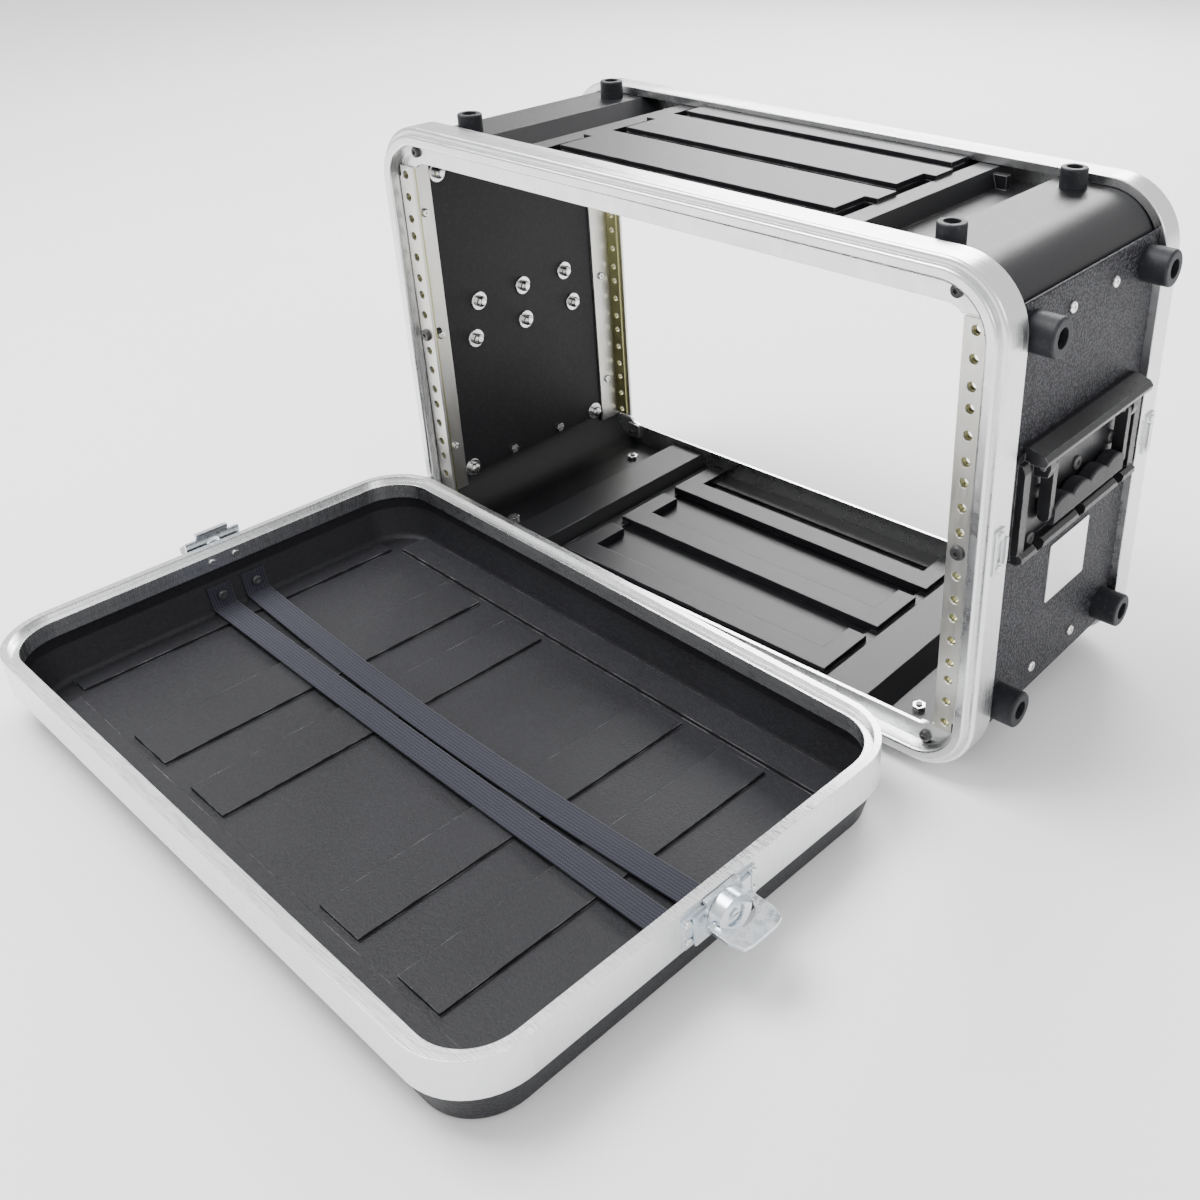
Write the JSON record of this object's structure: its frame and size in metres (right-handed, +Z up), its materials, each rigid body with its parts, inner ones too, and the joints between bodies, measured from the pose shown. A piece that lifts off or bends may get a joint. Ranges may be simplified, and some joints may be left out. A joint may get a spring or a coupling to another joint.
{
  "type": "equipment rack case",
  "caption": "Rack case for six-unit professional audio gear: ribbed black body with aluminium valances, rack rails at both ends, side handles, and a loose front lid with twist latches.",
  "frame": {"origin": "centre of the front rack hole pattern, on the front face of the rack rails", "axes": "+X to the right seen from the front, +Y from the front opening to the rear opening, +Z up"},
  "size_m": [0.5856, 0.5649, 0.339],
  "materials": {
    "shell_plastic": "satin",
    "panel_plastic": "textured",
    "board_plastic": "matte",
    "valance_aluminium": "satin",
    "joiner_steel": "satin",
    "rail_steel": "satin",
    "yellow_zinc": "satin",
    "black_screws": "satin",
    "bright_screws": "polished",
    "dark_screws": "satin",
    "rubber_black": "matte",
    "handle_metal": "satin",
    "pin_steel": "satin",
    "grip_rubber": "matte",
    "label_metal": "satin",
    "keeper_steel": "satin",
    "latch_zinc": "satin",
    "webbing": "woven"
  },
  "bodies": {
    "case": {"shell": "shell_plastic", "side_panel_left": "panel_plastic", "side_panel_right": "panel_plastic", "side_board_left": "board_plastic", "side_board_right": "board_plastic", "front_valance": "valance_aluminium", "rear_valance": "valance_aluminium", "valance_joiners": "joiner_steel", "corner_brackets": "joiner_steel", "rail_front_left": "rail_steel", "rail_front_right": "rail_steel", "rail_rear_left": "rail_steel", "rail_rear_right": "rail_steel", "tapped_strips_front": "yellow_zinc", "tapped_strips_rear": "yellow_zinc", "rack_screws": "black_screws", "valance_screws": "black_screws", "rail_screws": "bright_screws", "panel_screws": "bright_screws", "panel_nuts": "bright_screws", "inner_washers": "bright_screws", "cap_nuts": "bright_screws", "foot_nuts": "bright_screws", "keeper_rivets": "bright_screws", "foot_screws": "dark_screws", "bumper_bolts": "dark_screws", "handle_bolts": "dark_screws", "top_feet": "rubber_black", "bottom_feet": "rubber_black", "bumpers_left": "rubber_black", "bumpers_right": "rubber_black", "handle_pan_left": "handle_metal", "handle_pan_right": "handle_metal", "bail_pins": "pin_steel", "label_plate": "label_metal", "keepers_front": "keeper_steel", "keepers_rear": "keeper_steel"},
    "lid": {"lid_shell": "shell_plastic", "lid_valance": "valance_aluminium", "lid_joiner": "joiner_steel", "lid_joiner_rivets": "bright_screws", "strap_near": "webbing", "strap_far": "webbing", "strap_screws": "dark_screws", "latch_base_left": "latch_zinc", "latch_base_right": "latch_zinc", "latch_rivets": "bright_screws"},
    "bail_right": {"handle_bail_right": "handle_metal", "handle_grip_right": "grip_rubber"},
    "bail_left": {"handle_bail_left": "handle_metal", "handle_grip_left": "grip_rubber"},
    "hub_right": {"latch_hub_right": "latch_zinc"},
    "wing_right": {"latch_wing_right": "latch_zinc"},
    "hook_right": {"latch_hook_right": "latch_zinc"},
    "hub_left": {"latch_hub_left": "latch_zinc"},
    "wing_left": {"latch_wing_left": "latch_zinc"},
    "hook_left": {"latch_hook_left": "latch_zinc"}
  },
  "joints": [
    {"name": "lid_lift", "type": "slide", "parent": "case", "child": "lid", "axis": [0, 0, 1], "range_m": [0, 0.25]},
    {"name": "handle_right", "type": "hinge", "parent": "case", "child": "bail_right", "pos_m": [0.256, 0.102, 0.036], "axis": [0, -1, 0], "range_deg": [0, 90]},
    {"name": "latch_turn_right", "type": "hinge", "parent": "lid", "child": "hub_right", "pos_m": [0.22018, -0.19472, -0.1285], "axis": [0.9987, -0.0501, 0], "range_deg": [0, 180]},
    {"name": "hook_right", "type": "slide", "parent": "lid", "child": "hook_right", "axis": [0, 0, 1], "range_m": [0, 0.011]},
    {"name": "wing_right", "type": "hinge", "parent": "hub_right", "child": "wing_right", "pos_m": [0.22867, -0.19514, -0.1285], "axis": [0.0501, 0.9987, 0], "range_deg": [0, 90]},
    {"name": "handle_left", "type": "hinge", "parent": "case", "child": "bail_left", "pos_m": [-0.256, 0.102, 0.036], "axis": [0, 1, 0], "range_deg": [0, 90]},
    {"name": "latch_turn_left", "type": "hinge", "parent": "lid", "child": "hub_left", "pos_m": [-0.28718, -0.16928, -0.1285], "axis": [-0.9987, 0.0501, 0], "range_deg": [-180, 0]},
    {"name": "hook_left", "type": "slide", "parent": "lid", "child": "hook_left", "axis": [0, 0, 1], "range_m": [-0.011, 0]},
    {"name": "wing_left", "type": "hinge", "parent": "hub_left", "child": "wing_left", "pos_m": [-0.29567, -0.16886, -0.1285], "axis": [-0.0501, -0.9987, 0], "range_deg": [0, 90]}
  ],
  "couplings": [
    {"joint": "hook_right", "follows": "latch_turn_right", "m_per_rad": 0.0035014},
    {"joint": "hook_left", "follows": "latch_turn_left", "m_per_rad": 0.0035014}
  ]
}
